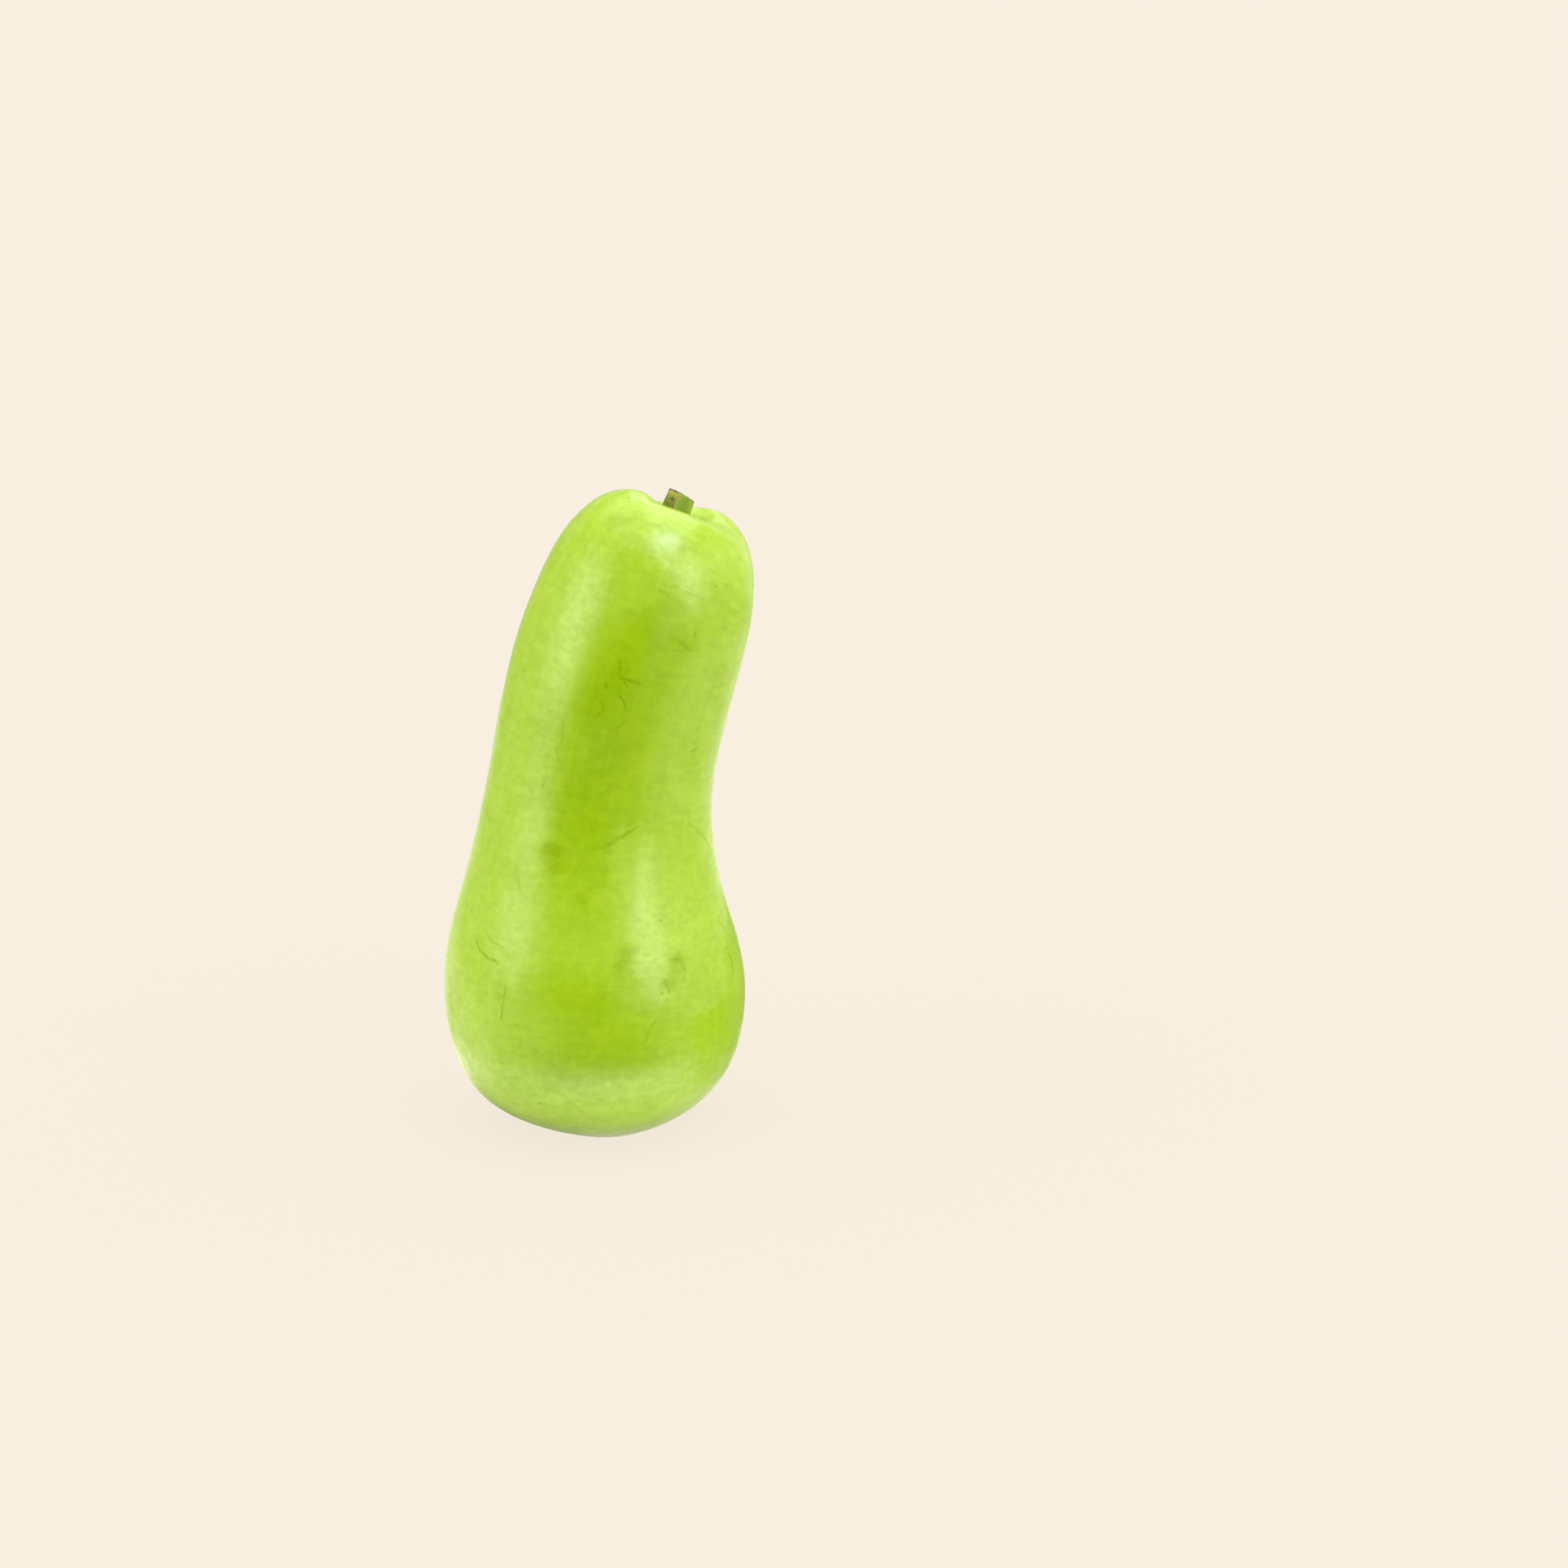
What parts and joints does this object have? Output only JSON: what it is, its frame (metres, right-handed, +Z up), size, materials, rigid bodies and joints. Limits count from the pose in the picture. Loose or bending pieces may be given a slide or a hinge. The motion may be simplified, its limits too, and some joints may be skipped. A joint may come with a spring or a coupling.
{
  "type": "bottle gourd",
  "caption": "Whole pale-green bottle gourd with a round bulb, a leaning neck and a cut stem stub, standing upright on its blossom end.",
  "frame": {"origin": "middle of the flat patch at the blossom end that the gourd stands on", "axes": "+Z up from the resting patch towards the stem; the neck leans towards +X; +Y is the back"},
  "size_m": [0.1262, 0.1221, 0.2611],
  "materials": {
    "skin": "smooth waxy skin, satin to glossy, soft lighter and darker green clouds",
    "stem": "ribbed green stalk, matt, dried brown at the cut"
  },
  "bodies": {
    "root": {"fruit": "skin", "stem": "stem"}
  },
  "joints": []
}
